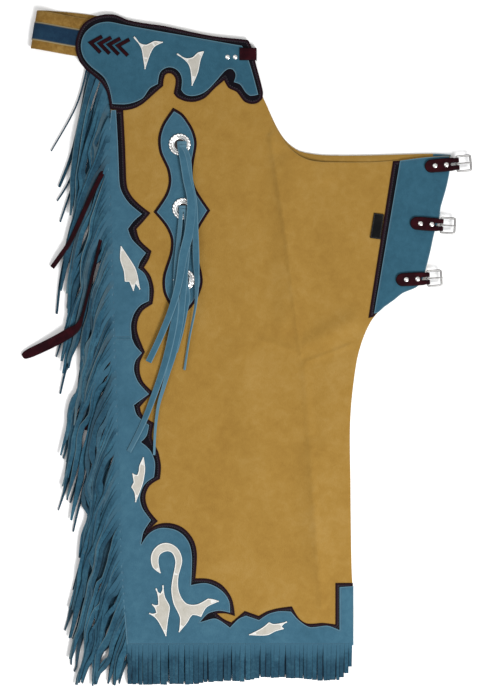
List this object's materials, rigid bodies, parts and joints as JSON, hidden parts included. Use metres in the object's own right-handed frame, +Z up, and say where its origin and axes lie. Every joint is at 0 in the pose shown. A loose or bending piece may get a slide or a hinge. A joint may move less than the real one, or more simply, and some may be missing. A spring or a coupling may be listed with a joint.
{
  "type": "fringed leather chaps",
  "caption": "Pair of fringed batwing riding chaps folded at the front and laid flat, with yoke, belt, side buckles and conchos.",
  "frame": {"origin": "middle of the bounding box on the surface the folded chaps lie on", "axes": "+Y towards the waist, +X from the fringed outer edge to the buckles, +Z up from the surface"},
  "size_m": [0.6756, 1.0102, 0.018],
  "materials": {
    "tan_suede": "matte suede",
    "blue_suede": "matte suede",
    "blue_fringe": "matte suede",
    "blue_stripe": "matte",
    "dark_leather": "smooth, semi-gloss",
    "burgundy_leather": "smooth, semi-gloss",
    "white_leather": "smooth, matte",
    "nickel": "polished nickel plate"
  },
  "bodies": {
    "root": {"belt": "tan_suede", "belt_stripe": "blue_stripe", "border_lower": "blue_suede", "border_upper": "blue_suede", "border_welt": "dark_leather", "chevron_1": "dark_leather", "chevron_2": "dark_leather", "chevron_3": "dark_leather", "chevron_4": "dark_leather", "concho_1": "nickel", "concho_2": "nickel", "concho_3": "nickel", "concho_plate": "blue_suede", "concho_plate_welt": "dark_leather", "concho_ties_1": "blue_suede", "concho_ties_2": "blue_suede", "concho_ties_3": "blue_suede", "facing": "blue_suede", "facing_welt": "dark_leather", "fringe_hem": "blue_fringe", "fringe_hem_under": "blue_fringe", "fringe_side": "blue_fringe", "fringe_side_under": "blue_fringe", "front_strap": "burgundy_leather", "label": "dark_leather", "leaf_corner": "white_leather", "leaf_hem": "white_leather", "leaf_middle": "white_leather", "leaf_upper": "white_leather", "left_leg": "tan_suede", "leg_strap_1": "burgundy_leather", "leg_strap_2": "burgundy_leather", "leg_strap_3": "burgundy_leather", "right_leg": "tan_suede", "scroll": "white_leather", "tab_1": "burgundy_leather", "tab_2": "burgundy_leather", "tab_3": "burgundy_leather", "tab_rivet_1_1": "nickel", "tab_rivet_1_2": "nickel", "tab_rivet_2_1": "nickel", "tab_rivet_2_2": "nickel", "tab_rivet_3_1": "nickel", "tab_rivet_3_2": "nickel", "yoke": "blue_suede", "yoke_leaf_1": "white_leather", "yoke_leaf_2": "white_leather", "yoke_rivet_1": "nickel", "yoke_rivet_2": "nickel", "yoke_welt": "dark_leather"},
    "buckle_frame_1": {"buckle_frame_1": "nickel"},
    "buckle_tongue_1": {"buckle_tongue_1": "nickel"},
    "buckle_frame_2": {"buckle_frame_2": "nickel"},
    "buckle_tongue_2": {"buckle_tongue_2": "nickel"},
    "buckle_frame_3": {"buckle_frame_3": "nickel"},
    "buckle_tongue_3": {"buckle_tongue_3": "nickel"}
  },
  "joints": [
    {"name": "frame_swing_1", "type": "hinge", "parent": "root", "child": "buckle_frame_1", "pos_m": [0.31546, 0.27627, 0.011], "axis": [0.0872, -0.9962, 0], "range_deg": [0, 90]},
    {"name": "tongue_swing_1", "type": "hinge", "parent": "buckle_frame_1", "child": "buckle_tongue_1", "pos_m": [0.31546, 0.27627, 0.011], "axis": [0.0872, -0.9962, 0], "range_deg": [0, 55]},
    {"name": "frame_swing_2", "type": "hinge", "parent": "root", "child": "buckle_frame_2", "pos_m": [0.29163, 0.18465, 0.011], "axis": [-0.0698, -0.9976, 0], "range_deg": [0, 90]},
    {"name": "tongue_swing_2", "type": "hinge", "parent": "buckle_frame_2", "child": "buckle_tongue_2", "pos_m": [0.29163, 0.18465, 0.011], "axis": [-0.0698, -0.9976, 0], "range_deg": [0, 55]},
    {"name": "frame_swing_3", "type": "hinge", "parent": "root", "child": "buckle_frame_3", "pos_m": [0.27137, 0.10458, 0.011], "axis": [0.0523, -0.9986, 0], "range_deg": [0, 90]},
    {"name": "tongue_swing_3", "type": "hinge", "parent": "buckle_frame_3", "child": "buckle_tongue_3", "pos_m": [0.27137, 0.10458, 0.011], "axis": [0.0523, -0.9986, 0], "range_deg": [0, 55]}
  ]
}
